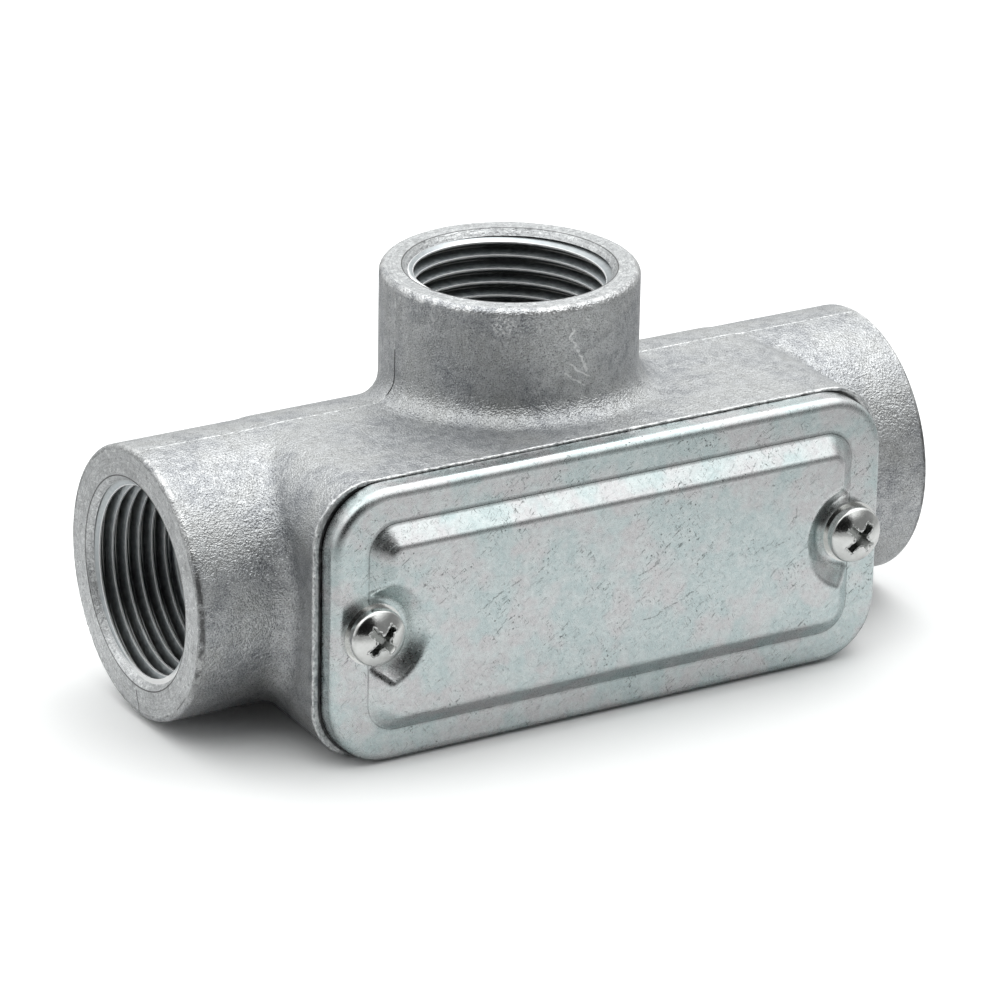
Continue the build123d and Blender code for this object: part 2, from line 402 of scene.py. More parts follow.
def cast_marks(tree, place, sand, tone):
    """A painted highlight along the parting line, the branch's scuffs and scratches, and painted
    shade for the rim's pits and the seam's step.
    """
    x, y, z = split(tree, place)
    # Painted highlight along the parting line
    line = multiply(
        tree,
        band(tree, y, *PARTING_Y),
        ramp(tree, z, RUN_R - 3.0, RUN_R - 2.0),
        ramp(tree, z, RUN_R + 2.0, RUN_R + 1.0),
        ramp(tree, noise(tree, place, 0.9, 3.0, 0.6), 0.4, 0.55),
    )
    tone = mix_colour(tree, multiply(tree, line, 0.75), tone, PARTING_HIGHLIGHT)

    streaks = noise(tree, stretched(tree, place, (0, 25, 0), (1.0, 1.0, 0.45)), 1.1, 3.0, 0.65)
    rubbed = multiply(tree, band(tree, z, *RUBBED_Z), ramp(tree, streaks, 0.56, 0.64))
    tone = mix_colour(tree, multiply(tree, rubbed, 0.45), tone, WEAR_AND_HIGHLIGHT_BRIGHT)

    across = unsteady(tree, place, x, 1.2, 1.0)
    strokes = largest(
        tree,
        stroke(tree, across, z, BRANCH_SQUIGGLE, SQUIGGLE_HALF),
        *(stroke(tree, across, z, points, SCRATCH_HALF) for points in BRANCH_SCRATCHES),
    )
    on_front = ramp(tree, y, -8.0, -9.0)
    broken = ramp(tree, noise(tree, place, 2.2, 2.0, 0.6), 0.34, 0.5)
    strokes = multiply(tree, strokes, on_front, broken)
    scuff = multiply(tree, spot(tree, place, *BRANCH_SCUFF), ramp(tree, sand, 0.5, 0.62))
    strokes = largest(tree, strokes, scuff)
    tone = mix_colour(tree, multiply(tree, strokes, 0.8), tone, STROKE_WHITE)

    # Painted shade standing in for the rim's pits
    pit_shade = largest(tree, *(spot(tree, place, *pit) for pit in RIM_PITS))
    tone = mix_colour(tree, pit_shade, tone, PAINTED_SHADE_DARK)
    # Painted shade standing in for a step along the seam
    seam_shade = multiply(
        tree, band(tree, y, *SEAM_Y), band(tree, z, *SEAM_Z), ramp(tree, x, -19.0, -20.0)
    )
    return mix_colour(tree, seam_shade, tone, PAINTED_SHADE_DARK)


def cast_material():
    material, tree, shader = new_material("cast_aluminium")
    place = from_axis(tree)
    clouds = noise(tree, place, 0.55, 3.0, 0.6)
    sand = noise(tree, place, 2.5, 1.0, 0.5)
    grit = noise(tree, place, 5.0, 1.0, 0.5)
    tone = cast_skin(tree, place, clouds, grit)
    tone, wear_and_highlight = cast_edges(tree, place, clouds, tone)
    tone = cast_marks(tree, place, sand, tone)
    tree.links.new(tone, shader.inputs["Base Color"])
    rough = ramp(tree, grit, 0.3, 0.7, 0.5, 0.38)
    tree.links.new(subtract(tree, rough, multiply(tree, wear_and_highlight, 0.12)), shader.inputs["Roughness"])
    height = add(tree, sand, multiply(tree, grit, 0.35), multiply(tree, clouds, 0.8))
    bump(tree, shader, height, 0.17)
    return material


# The hubs' materials: turned faces and cut threads

TURNED_DARK = (0.5, 0.51, 0.52)
TURNED_LIGHT = (0.7, 0.71, 0.715)
STAIN = (0.4, 0.405, 0.41)
SCUFF_LIGHT = (0.9, 0.91, 0.91)
SCUFF_DARK = (0.2, 0.2, 0.21)
SCRAPE_DARK = (0.15, 0.15, 0.16)
FACE_DIRT_AND_SHADE = (0.06, 0.06, 0.06)
FLANK_DARK = (0.42, 0.45, 0.47)
FLANK_LIGHT = (0.54, 0.57, 0.58)
CREST_HIGHLIGHT = (0.97, 0.97, 0.97)
ROOT_DARK = (0.17, 0.165, 0.16)

# A dark ring on a hub's face at the mouth, a dirty ring near its outer edge, and the painted
# shade of the crack in the left hub's face, as y and z
MOUTH_RING = (MOUTH_R + 0.06, 0.06, 0.08)
OUTER_RING = (RUN_R - 0.65, 0.15, 0.25)
HUB_CRACK = ((-0.3, -17.6), (-0.6, -18.9), (-1.1, -19.7), (-1.3, -21.4))
HUB_CRACK_HALF = 0.09


def machined_material(name, radial):
    """Face turned flat on a lathe: fine rings, with scuffs and dirt, a dark ring at the mouth and the
    painted shade of a crack. radial names its two axes.
    """
    material, tree, shader = new_material(name)
    place = from_axis(tree)
    axes = dict(zip("xyz", split(tree, place)))
    radius = length(tree, axes[radial[0]], axes[radial[1]])
    rings_at = node(tree, "ShaderNodeCombineXYZ")
    tree.links.new(radius, rings_at.inputs[0])
    tree.links.new(multiply(tree, noise(tree, place, 0.2, 2.0), 3.0), rings_at.inputs[1])
    rings = noise(tree, rings_at.outputs[0], 3.0, 2.0, 0.65)
    stains = noise(tree, place, 0.3, 3.0, 0.6)
    scuffs = noise(tree, place, 1.5, 3.0, 0.65, 0.6)
    fine = noise(tree, place, 5.0, 1.0, 0.5)
    tone = mix_colour(tree, ramp(tree, rings, 0.35, 0.65), TURNED_DARK, TURNED_LIGHT)
    tone = mix_colour(tree, ramp(tree, stains, 0.5, 0.68, 0.0, 0.5), tone, STAIN)
    tone = mix_colour(tree, ramp(tree, scuffs, 0.54, 0.66, 0.0, 0.75), tone, SCUFF_LIGHT)
    tone = mix_colour(tree, ramp(tree, scuffs, 0.43, 0.3, 0.0, 0.7), tone, SCUFF_DARK)
    tone = mix_colour(tree, ramp(tree, fine, 0.44, 0.28, 0.0, 0.6), tone, SCRAPE_DARK)
    mouth = band(tree, radius, *MOUTH_RING)
    outer = multiply(tree, band(tree, radius, *OUTER_RING), ramp(tree, stains, 0.44, 0.56))
    # Painted shade standing in for the crack in the left hub's face
    crack_shade = multiply(
        tree,
        stroke(tree, axes["y"], axes["z"], HUB_CRACK, HUB_CRACK_HALF),
        ramp(tree, axes["x"], 0.0, -1.0),
    )
    dirt_and_shade = largest(tree, mouth, multiply(tree, outer, 0.7), crack_shade)
    tone = mix_colour(tree, multiply(tree, dirt_and_shade, 0.85), tone, FACE_DIRT_AND_SHADE)
    tree.links.new(tone, shader.inputs["Base Color"])
    tree.links.new(ramp(tree, scuffs, 0.3, 0.7, 0.32, 0.48), shader.inputs["Roughness"])
    bump(tree, shader, add(tree, rings, multiply(tree, scuffs, 1.5)), 0.09)
    return material


def thread_material():
    """Cut thread: a painted highlight on the crests, clean flanks, and darker down in the root."""
    material, tree, shader = new_material("cut_thread")
    place = from_axis(tree)
    groove = node(tree, "ShaderNodeAttribute", attribute_name="groove").outputs["Fac"]
    streaks = noise(tree, place, 1.1, 3.0, 0.6)
    tone = mix_colour(tree, ramp(tree, streaks, 0.3, 0.7), FLANK_DARK, FLANK_LIGHT)
    # Painted highlight on the crests
    tone = mix_colour(tree, ramp(tree, groove, 0.1, 0.02), tone, CREST_HIGHLIGHT)
    # Darker down in the root
    root_darkening = multiply(tree, ramp(tree, groove, 0.35, 1.0), ramp(tree, streaks, 0.2, 0.6, 1.0, 0.8))
    tone = mix_colour(tree, root_darkening, tone, ROOT_DARK)
    tree.links.new(tone, shader.inputs["Base Color"])
    torn = ramp(tree, groove, 0.1, 0.0, 0.0, 0.3)
    rough = add(tree, ramp(tree, streaks, 0.3, 0.7, 0.28, 0.4), torn)
    tree.links.new(rough, shader.inputs["Roughness"])
    return material


# The cover's and the screws' materials

ZINC_COOL = (0.55, 0.635, 0.64)
ZINC_ROSY = (0.64, 0.63, 0.64)
ZINC_PALE = (0.68, 0.73, 0.73)
ZINC_GRAIN = (0.36, 0.39, 0.4)
ZINC_MOTTLE_DARK = (0.4, 0.43, 0.44)
ZINC_MOTTLE_LIGHT = (0.74, 0.78, 0.78)
ZINC_MARK_AND_SHADE = (0.09, 0.1, 0.1)
SCREW_DARK = (0.66, 0.665, 0.65)
SCREW_LIGHT = (0.76, 0.765, 0.755)
RECESS_SHADE = (0.33, 0.34, 0.33)

# Scratches on the cover's panel, as x and z, their half width, and where the panel's face begins
PANEL_SCRATCHES = (
    ((3.0, 1.0), (4.5, 1.5), (6.5, 2.5)),
    ((4.0, -6.5), (6.0, -6.5), (7.5, -5.5), (11.0, -4.5), (14.5, -2.5)),
    ((-25.5, 0.5), (-21.5, 3.0), (-18.0, 4.5)),
    ((-37.5, -13.0), (-35.5, -14.0), (-33.5, -14.0)),
    ((27.5, 1.0), (29.5, 1.5)),
    ((30.5, 4.5), (31.5, 6.5)),
)
PANEL_SCRATCH_HALF = 0.07
PANEL_FACE_Y = (-33.3, -33.6)

# The painted shade along the crease round the foot of the panel, as a band, and the painted shade in
# the recess, by its depth under the dome and its reach from the screw's axis
FOOT_SHADE_LINE = (0.0, 0.05, 0.09)
RECESS_DEPTH = (0.08, 0.5)
RECESS_REACH = (3.4, 3.1)


def zinc_marks_and_foot_shade(tree, place):
    """Clouds of dark specks and short lines, the panel's scratches and painted shade round its foot.
    """
    x, y, z = split(tree, place)
    spread = ramp(tree, noise(tree, place, 0.16, 3.0, 0.6), 0.45, 0.6)
    dots = largest(
        tree, specks(tree, place, 1.2, 0.22, 0.3), specks(tree, place, 2.9, 0.24, 0.2)
    )
    dots = multiply(tree, dots, add(tree, multiply(tree, spread, 0.9), 0.1))
    slanted = stretched(tree, place, (0, 38, 0), (0.7, 1.0, 4.2))
    steep = stretched(tree, place, (0, -62, 0), (0.8, 1.0, 5.0))
    lines = largest(
        tree,
        ramp(tree, noise(tree, slanted, 1.0, 2.0, 0.6, 0.8), 0.64, 0.68),
        ramp(tree, noise(tree, steep, 1.0, 2.0, 0.6, 0.8), 0.655, 0.695),
    )
    lines = multiply(tree, lines, add(tree, multiply(tree, spread, 0.6), 0.4))

    across = unsteady(tree, place, x, 1.3, 1.8)
    cuts = largest(
        tree, *(stroke(tree, across, z, points, PANEL_SCRATCH_HALF) for points in PANEL_SCRATCHES)
    )
    broken = ramp(tree, noise(tree, place, 2.4, 2.0, 0.6), 0.42, 0.56, 0.1, 0.85)
    cuts = multiply(tree, cuts, ramp(tree, y, *PANEL_FACE_Y), broken)
    lines = multiply(tree, largest(tree, lines, cuts), 0.85)

    off_foot = past_outline(tree, place, FOOT_HALF_X, FOOT_HALF_Z, FOOT_CORNER)
    uneven = ramp(tree, noise(tree, place, 0.5, 3.0, 0.6), 0.35, 0.6, 0.25, 0.75)
    # Painted shade along the crease at the panel's foot
    foot_shade = multiply(tree, band(tree, off_foot, *FOOT_SHADE_LINE), uneven)
    return largest(tree, dots, lines, foot_shade)


def plated_material():
    """Zinc plate: cool and rosy patches, a fine mottle, dark marks and painted shade round the
    panel's foot.
    """
    material, tree, shader = new_material("zinc_plate")
    place = from_axis(tree)
    patches = noise(tree, place, 0.13, 3.0, 0.55)
    clouds = noise(tree, place, 0.4, 3.0, 0.6)
    mottle = noise(tree, place, 1.5, 3.0, 0.6)
    fine = noise(tree, place, 5.0, 2.0, 0.6)
    tone = mix_colour(tree, ramp(tree, patches, 0.42, 0.58, smooth=True), ZINC_COOL, ZINC_ROSY)
    tone = mix_colour(tree, ramp(tree, clouds, 0.42, 0.62, 0.0, 0.6), tone, ZINC_PALE)
    tone = mix_colour(tree, ramp(tree, fine, 0.47, 0.27, 0.0, 0.3), tone, ZINC_GRAIN)
    tone = mix_colour(tree, ramp(tree, mottle, 0.5, 0.3, 0.0, 0.3), tone, ZINC_MOTTLE_DARK)
    tone = mix_colour(tree, ramp(tree, mottle, 0.54, 0.72, 0.0, 0.5), tone, ZINC_MOTTLE_LIGHT)
    marks_and_foot_shade = zinc_marks_and_foot_shade(tree, place)
    tone = mix_colour(tree, multiply(tree, marks_and_foot_shade, 0.85), tone, ZINC_MARK_AND_SHADE)
    tree.links.new(tone, shader.inputs["Base Color"])
    tree.links.new(ramp(tree, fine, 0.3, 0.7, 0.22, 0.36), shader.inputs["Roughness"])
    height = add(tree, multiply(tree, fine, 0.6), multiply(tree, clouds, 2.0))
    bump(tree, shader, subtract(tree, height, marks_and_foot_shade), 0.02)
    return material


def screw_material():
    """Bright plate, with painted shade and rougher metal down in the recess."""
    material, tree, shader = new_material("bright_plate")
    place = from_axis(tree)
    x, y, z = split(tree, place)
    fine = noise(tree, place, 4.0, 2.0, 0.5)
    wear = noise(tree, place, 0.9, 3.0, 0.6)
    from_screw = length(tree, subtract(tree, size_of(tree, x), SCREW_X), z)
    bulge = calc(
        tree, "SQRT", subtract(tree, DOME_R ** 2, multiply(tree, from_screw, from_screw))
    )
    dome = subtract(tree, DOME_CENTRE_Y, bulge)
    recess = multiply(
        tree,
        ramp(tree, subtract(tree, y, dome), *RECESS_DEPTH),
        ramp(tree, from_screw, *RECESS_REACH),
    )
    tone = mix_colour(tree, ramp(tree, wear, 0.35, 0.65), SCREW_DARK, SCREW_LIGHT)
    # Painted shade down in the cross recess
    tone = mix_colour(tree, recess, tone, RECESS_SHADE)
    tree.links.new(tone, shader.inputs["Base Color"])
    rough = add(tree, ramp(tree, fine, 0.3, 0.7, 0.1, 0.2), multiply(tree, recess, 0.15))
    tree.links.new(rough, shader.inputs["Roughness"])
    bump(tree, shader, add(tree, multiply(tree, fine, 0.3), wear), 0.02)
    return material


def flash_material(name, dull, bright):
    """Thin torn metal, rubbed bright in places."""
    material, tree, shader = new_material(name)
    place = from_axis(tree)
    torn = noise(tree, place, 1.8, 3.0, 0.65)
    tone = mix_colour(tree, ramp(tree, torn, 0.35, 0.6), dull, bright)
    tree.links.new(tone, shader.inputs["Base Color"])
    tree.links.new(ramp(tree, torn, 0.3, 0.7, 0.6, 0.4), shader.inputs["Roughness"])
    bump(tree, shader, torn, 0.1)
    return material


CAST = cast_material()
FLASH = flash_material("bright_flash", dull=(0.45, 0.46, 0.47), bright=(0.88, 0.89, 0.89))
BURR = flash_material("recess_burr", dull=(0.35, 0.36, 0.35), bright=(0.85, 0.86, 0.85))
RUN_FACE = machined_material("turned_run_face", "yz")
BRANCH_FACE = machined_material("turned_branch_face", "xy")
THREAD = thread_material()
PLATE = plated_material()
BRIGHT = screw_material()


def paint(obj, material):
    obj.data.materials.clear()
    obj.data.materials.append(material)


# The casting: the solid's own skin with the plain bores taken out, and real threads in their place

CAST_SLOT, THREAD_SLOT, RUN_FACE_SLOT, BRANCH_FACE_SLOT = range(4)


class Skin:
    """Collects faces with a normal for each corner, in millimetres from AXIS."""

    def __init__(self):
        self.points = []
        self.grooves = []
        self.faces = []
        self.normals = []
        self.slots = []
        self.count = 0

    def add(self, points, grooves, faces, normals, slots):
        self.points.append(np.asarray(points, float))
        self.grooves.append(np.asarray(grooves, float))
        self.normals.append(np.asarray(normals, float))
        self.faces.extend([[int(i) + self.count for i in face] for face in faces])
        self.slots.extend(slots)
        self.count += len(points)

    def to_object(self, name, materials):
        mesh = bpy.data.meshes.new(name)
        points = np.concatenate(self.points) * MM + np.array(AXIS)
        mesh.from_pydata(points.tolist(), [], self.faces)
        for material in materials:
            mesh.materials.append(material)
        mesh.polygons.foreach_set("material_index", self.slots)
        mesh.polygons.foreach_set("use_smooth", [True] * len(self.faces))
        groove = mesh.attributes.new("groove", "FLOAT", "POINT")
        groove.data.foreach_set("value", np.concatenate(self.grooves))
        mesh.normals_split_custom_set(np.concatenate(self.normals).tolist())
        return link_object(name, mesh)


def read_node(obj):
    """Points in millimetres from AXIS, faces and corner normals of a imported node."""
    mesh = obj.data
    points = np.empty(len(mesh.vertices) * 3)
    mesh.vertices.foreach_get("co", points)
    points = (points.reshape(-1, 3) - np.array(AXIS)) / MM
    faces = [list(p.vertices) for p in mesh.polygons]
    normals = np.empty(len(mesh.loops) * 3)
    mesh.corner_normals.foreach_get("vector", normals)
    return points, faces, normals.reshape(-1, 3)


# How near a face's centre may lie to a hub's face, and to the bottom or the rim of its bore
ON_FACE = 0.01
ON_EDGE = 0.05


def in_bore(centre):
    """Whether a face of the solid belongs to a plain bore or its mouth, which the thread replaces."""
    x, y, z = centre
    for along, end, radius in (
        (abs(x), RUN_HALF, math.hypot(y, z)), (z, BRANCH_TOP, math.hypot(x, y))
    ):
        if end - BORE_DEPTH + ON_EDGE < along < end - ON_FACE and radius < MOUTH_R + ON_EDGE:
            return True
    return False


def skin_slot(centre):
    if abs(abs(centre[0]) - RUN_HALF) < ON_FACE:
        return RUN_FACE_SLOT
    if abs(centre[2] - BRANCH_TOP) < ON_FACE:
        return BRANCH_FACE_SLOT
    return CAST_SLOT


def copy_casting(skin):
    """Lay the solid's skin without its bores into skin, and return it as a surface for rays."""
    points, faces, normals = read_node(frame["nodes"]["body_casting"])
    kept_faces = []
    kept_normals = []
    slots = []
    corner = 0
    for face in faces:
        count = len(face)
        centre = points[face].mean(axis=0)
        if not in_bore(centre):
            kept_faces.append(face)
            kept_normals.append(normals[corner:corner + count])
            slots.append(skin_slot(centre))
        corner += count
    used = sorted({i for face in kept_faces for i in face})
    renumber = {old: new for new, old in enumerate(used)}
    renumbered = [[renumber[i] for i in face] for face in kept_faces]
    skin.add(points[used], np.zeros(len(used)), renumbered, np.concatenate(kept_normals), slots)
    return BVHTree.FromPolygons(points[used].tolist(), renumbered)


# The pipe thread: radii at the hub's face, taper of the radius, and a chamfer of MOUTH_DEPTH from
# MOUTH_R to MOUTH_END_R. The groove fades over FADE_LENGTH, up to FADE_END from the bore's bottom.
THREAD_PITCH = 25.4 / 11.5
THREAD_STEPS = 144
CREST_R = 14.95
ROOT_R = 16.5
TAPER = 1 / 32
MOUTH_DEPTH = 1.0
MOUTH_END_R = 15.75
FADE_END = 0.4
FADE_LENGTH = 1.6

# One groove: the place along the pitch, and the share of the full depth that is cut there
PROFILE = (
    (0.0, 0.0), (0.05, 0.0), (0.12, 0.17), (0.19, 0.34), (0.26, 0.52), (0.33, 0.7), (0.4, 0.87),
    (0.45, 0.97), (0.5, 1.0), (0.55, 0.97), (0.6, 0.87), (0.67, 0.7), (0.74, 0.52), (0.81, 0.34),
    (0.88, 0.17), (0.95, 0.0),
)

# Two points this near each other count as one
TOUCHING = 1e-4


def thread_surface(start):
    """A cut, tapered pipe thread seen from the mouth: depth runs inwards from the hub's face."""
    turns = int(math.ceil(BORE_DEPTH / THREAD_PITCH)) + 2
    places = [place for place, _ in PROFILE]
    cuts = [cut for _, cut in PROFILE]
    rows = np.array([turn + place for turn in range(turns) for place in places])[:, None]
    angles = np.linspace(0, 2 * math.pi, THREAD_STEPS + 1)
    lead = start - 1 - angles[None] / (2 * math.pi)
    depth = np.clip(THREAD_PITCH * (rows + lead), MOUTH_DEPTH, BORE_DEPTH)
    groove = np.interp((depth / THREAD_PITCH - lead) % 1.0, places + [1.0], cuts + [0.0])
    groove = groove * np.clip((BORE_DEPTH - FADE_END - depth) / FADE_LENGTH, 0, 1)
    radius = CREST_R - TAPER * depth + (ROOT_R - CREST_R) * groove
    return depth, radius, groove, angles


def add_strips(skin, points, grooves, slot):
    """Rows of faces between neighbouring rows of points, turned towards the bore's axis."""
    rows, columns = points.shape[:2]
    along = np.gradient(points, axis=1)
    faces = []
    normals = []
    for i in range(rows - 1):
        step = points[i + 1] - points[i]
        span = np.linalg.norm(step, axis=1)
        out = np.cross(along[i], step)
        out /= np.maximum(np.linalg.norm(out, axis=1), 1e-9)[:, None]
        for j in range(columns - 1):
            if span[j] < TOUCHING and span[j + 1] < TOUCHING:
                continue
            first = i * columns + j
            faces.append((first, first + 1, first + columns + 1, first + columns))
            pair = [out[k] if span[k] > TOUCHING else out[2 * j + 1 - k] for k in (j, j + 1)]
            normals.extend((pair[0], pair[1], pair[1], pair[0]))
    skin.add(points.reshape(-1, 3), grooves.ravel(), faces, normals, [slot] * len(faces))


def add_thread(skin, origin, inward, side, turn_axis, start, mouth_slot):
    """Lay the thread in a hub: origin is the centre of its face, inward points down the bore."""
    depth, radius, groove, angles = thread_surface(start)
    origin, inward, side, turn_axis = (np.array(v, float) for v in (origin, inward, side, turn_axis))
    ring = np.cos(angles)[:, None] * side + np.sin(angles)[:, None] * turn_axis
    points = origin + depth[..., None] * inward + radius[..., None] * ring[None]
    add_strips(skin, points, groove, THREAD_SLOT)
    mouth = [origin + ring * MOUTH_R, origin + MOUTH_DEPTH * inward + ring * MOUTH_END_R]
    add_strips(skin, np.array(mouth), np.zeros((2, len(angles))), mouth_slot)
    lip = [mouth[1], points[0]]
    add_strips(skin, np.array(lip), np.array([groove[0] * 0, groove[0]]), THREAD_SLOT)


def make_casting():
    skin = Skin()
    surface = copy_casting(skin)
    add_thread(skin, (-RUN_HALF, 0, 0), (1, 0, 0), (0, 0, 1), (0, 1, 0), 0.0, RUN_FACE_SLOT)
    add_thread(skin, (RUN_HALF, 0, 0), (-1, 0, 0), (0, 0, 1), (0, -1, 0), 0.3, RUN_FACE_SLOT)
    add_thread(skin, (0, 0, BRANCH_TOP), (0, 0, -1), (1, 0, 0), (0, 1, 0), 0.0, BRANCH_FACE_SLOT)
    made = skin.to_object("casting_dressed", (CAST, THREAD, RUN_FACE, BRANCH_FACE))
    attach(made, "casting")
    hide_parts("body_casting")
    return surface


# Flash left by the moulds: a burr round the rim, and thin broken ridges along the parting line

# A ridge's feet stand this far under the skin, and its top where the ridge is broken off
RIDGE_ROOT = 0.1
RIDGE_BROKEN = 0.08

# Steps along a ridge, in degrees round the rim's corners and in millimetres elsewhere
CORNER_STEP = 1.5
STATION_STEP = 0.25
RECESS_STEP = 0.08

# The burr starts this high above the rim's underside and is full a little higher. Its foot is set
# back into the rim's edge.
BURR_FROM = 0.9
BURR_GROWS = 1.5
BURR_SET_BACK = 0.2

# The parting line: rays fall from outside the fitting, from a first place to a last, along a way
RAYS_FROM = RUN_R + 5
PARTING_LINES = (
    ((-63.5, 0, RAYS_FROM), (-23.5, 0, RAYS_FROM), (0, 0, -1)),
    ((23.5, 0, RAYS_FROM), (63.5, 0, RAYS_FROM), (0, 0, -1)),
    ((-63.5, 0, -RAYS_FROM), (63.5, 0, -RAYS_FROM), (0, 0, 1)),
    ((-26, 0, BRANCH_TOP - 2), (-26, 0, 30), (1, 0, 0)),
    ((26, 0, BRANCH_TOP - 2), (26, 0, 25), (-1, 0, 0)),
)

# How far the torn edge of a cross recess strays from a straight line, and how often
EDGE_STRAYS = 0.28
EDGE_STRAYS_PER_MM = 1.6


def ragged(at, seed, per_mm=0.9):
    """Noise from nought to one along a ridge."""
    coarse = noise_at(Vector((at * per_mm, seed, 0.3)))
    fine = noise_at(Vector((at * per_mm * 3.1, seed, 7.7)))
    return min(1.0, max(0.0, 0.5 + 0.75 * coarse + 0.35 * fine))


def ridge(points, faces, stations, seed, width, low, high, gap):
    """Ridge through the stations, from low to high, and broken off where its noise is under gap.

    Each station is a place, the way out of the metal, the way across and a share of the height.
    """
    start = len(points)
    travelled = 0.0
    last = None
    for place, out, across, share in stations:
        if last is not None:
            travelled += (place - last).length
        last = place
        rough = ragged(travelled, seed)
        stands = (low + (high - low) * rough) * share if rough > gap else -RIDGE_BROKEN
        half = width * (0.35 + 0.3 * ragged(travelled, seed + 5.0))
        lean = half * 0.5 * (ragged(travelled, seed + 9.0) - 0.5)
        points.append(place - out * RIDGE_ROOT - across * half)
        points.append(place + out * stands + across * (lean - half * 0.35))
        points.append(place + out * stands + across * (lean + half * 0.35))
        points.append(place - out * RIDGE_ROOT + across * half)
    for i in range(len(stations) - 1):
        for k in range(3):
            a = start + 4 * i + k
            faces.append((a, a + 1, a + 5, a + 4))


def rim_stations():
    """Round the outer edge of the rim, from one side of the foot over the top to the other."""
    flat_x = RIM_HALF_X - RIM_CORNER
    flat_z = RIM_HALF_Z - RIM_CORNER
    front = Vector((0, -1, 0))
    outline = []
    for cx, cz, first in (
        (flat_x, -flat_z, 270), (flat_x, flat_z, 0), (-flat_x, flat_z, 90), (-flat_x, -flat_z, 180)
    ):
        for k in range(int(90 / CORNER_STEP) + 1):
            angle = math.radians(first + CORNER_STEP * k)
            way = Vector((math.cos(angle), 0, math.sin(angle)))
            at = Vector((cx, RIM_Y, cz)) + way * RIM_CORNER
            if outline and k == 0:
                last = outline[-1][0]
                steps = int((at - last).length / STATION_STEP)
                outline += [(last.lerp(at, n / steps), way) for n in range(1, steps)]
            outline.append((at, way))
    stations = []
    for at, way in outline:
        above = at.z + RIM_HALF_Z
        if above > BURR_FROM:
            out = (way + front).normalized()
            across = (way - front).normalized()
            share = min(1.0, (above - BURR_FROM) / BURR_GROWS)
            stations.append((at - out * BURR_SET_BACK, out, across, share))
    return stations


def line_stations(surface, first, last, fall):
    """Along the parting line: straight from first to last, dropped on to the casting along fall."""
    first, last, fall = Vector(first), Vector(last), Vector(fall)
    across = (last - first).normalized().cross(fall)
    stations = []
    steps = int((last - first).length / STATION_STEP)
    for k in range(steps + 1):
        hit = surface.ray_cast(first.lerp(last, k / steps), fall)[0]
        if hit is not None:
            stations.append((hit, -fall, across, 1.0))
    return stations


def recess_stations(screw_x):
    """Round the edge of the cross recess, on the dome of the head."""
    half = RECESS_WIDTH / 2
    end = RECESS_SPAN / 2
    arm = ((half, half), (half, end), (-half, end))
    outline = []
    for quarter in range(4):
        turn = Matrix.Rotation(math.radians(45 + 90 * quarter), 2)
        outline += [turn @ Vector(corner) for corner in arm]
    outline.append(outline[0])
    stations = []
    for first, last in zip(outline, outline[1:]):
        steps = max(2, int((last - first).length / RECESS_STEP))
        along = (last - first).normalized()
        for k in range(steps):
            at = first.lerp(last, k / steps)
            noisy = Vector((at.x * EDGE_STRAYS_PER_MM, at.y * EDGE_STRAYS_PER_MM, screw_x))
            at = at + Vector((along.y, -along.x)) * (EDGE_STRAYS * noise_at(noisy))
            depth = math.sqrt(max(DOME_R ** 2 - at.length_squared, 0.0))
            place = Vector((screw_x + at.x, DOME_CENTRE_Y - depth, at.y))
            out = (place - Vector((screw_x, DOME_CENTRE_Y, 0))).normalized()
            across = Vector((along.y, 0, -along.x))
            stations.append((place, out, across, 1.0))
    stations.append(stations[0])
    return stations


def ridge_object(name, points, faces, material):
    mesh = bpy.data.meshes.new(name)
    mesh.from_pydata([tuple(p * MM + AXIS) for p in points], [], faces)
    mesh.polygons.foreach_set("use_smooth", [True] * len(faces))
    mesh.materials.append(material)
    return link_object(name, mesh)


def make_flash(surface):
    points = []
    faces = []
    ridge(points, faces, rim_stations(), seed=1.0, width=0.6, low=0.06, high=0.34, gap=0.1)
    for n, (first, last, fall) in enumerate(PARTING_LINES):
        stations = line_stations(surface, first, last, fall)
        ridge(points, faces, stations, seed=20.0 + n, width=0.34, low=0.02, high=0.07, gap=0.42)
    made = ridge_object("casting_flash", points, faces, FLASH)
    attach(made, "casting")


def make_recess_burr(side, screw_x):
    points = []
    faces = []
    stations = recess_stations(screw_x)
    ridge(points, faces, stations, seed=40.0 + screw_x, width=0.34, low=0.03, high=0.13, gap=0.25)
    for point in points:
        point.y = max(point.y, HEAD_FRONT_Y)
    made = ridge_object("recess_burr_" + side, points, faces, BURR)
    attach(made, "screw_" + side)


make_flash(make_casting())
make_recess_burr("left", -SCREW_X)
make_recess_burr("right", SCREW_X)
nodes = frame["nodes"]
paint(nodes["cover"], PLATE)
for side in ("left", "right"):
    paint(nodes["washer_" + side], BRIGHT)
    paint(nodes["screw_" + side], BRIGHT)


# Floor, world and lamp

# Floor in metres: its half size, how far out its painted pool of light turns darker, and the oblong
# of painted shadow under the object, with the soft edge of that
FLOOR_HALF = 6.0
FLOOR_TURNS = (0.07, 0.2)
UNDER_HALF_X = 0.055
UNDER_HALF_Y = 0.02
UNDER_SHADOW_EDGE = (0.012, -0.01)

# Reflectance of the floor: as it lights the object, with painted shadow under it, a painted pool of
# light near it and painted dimming far off, and as the camera sees it
FLOOR_PAINTED_SHADOW = (0.3, 0.3, 0.3)
FLOOR_POOL_NEAR = (0.8, 0.8, 0.8)
FLOOR_DIM_FAR = (0.36, 0.36, 0.36)
FLOOR_SEEN = (1.08, 1.08, 1.08)

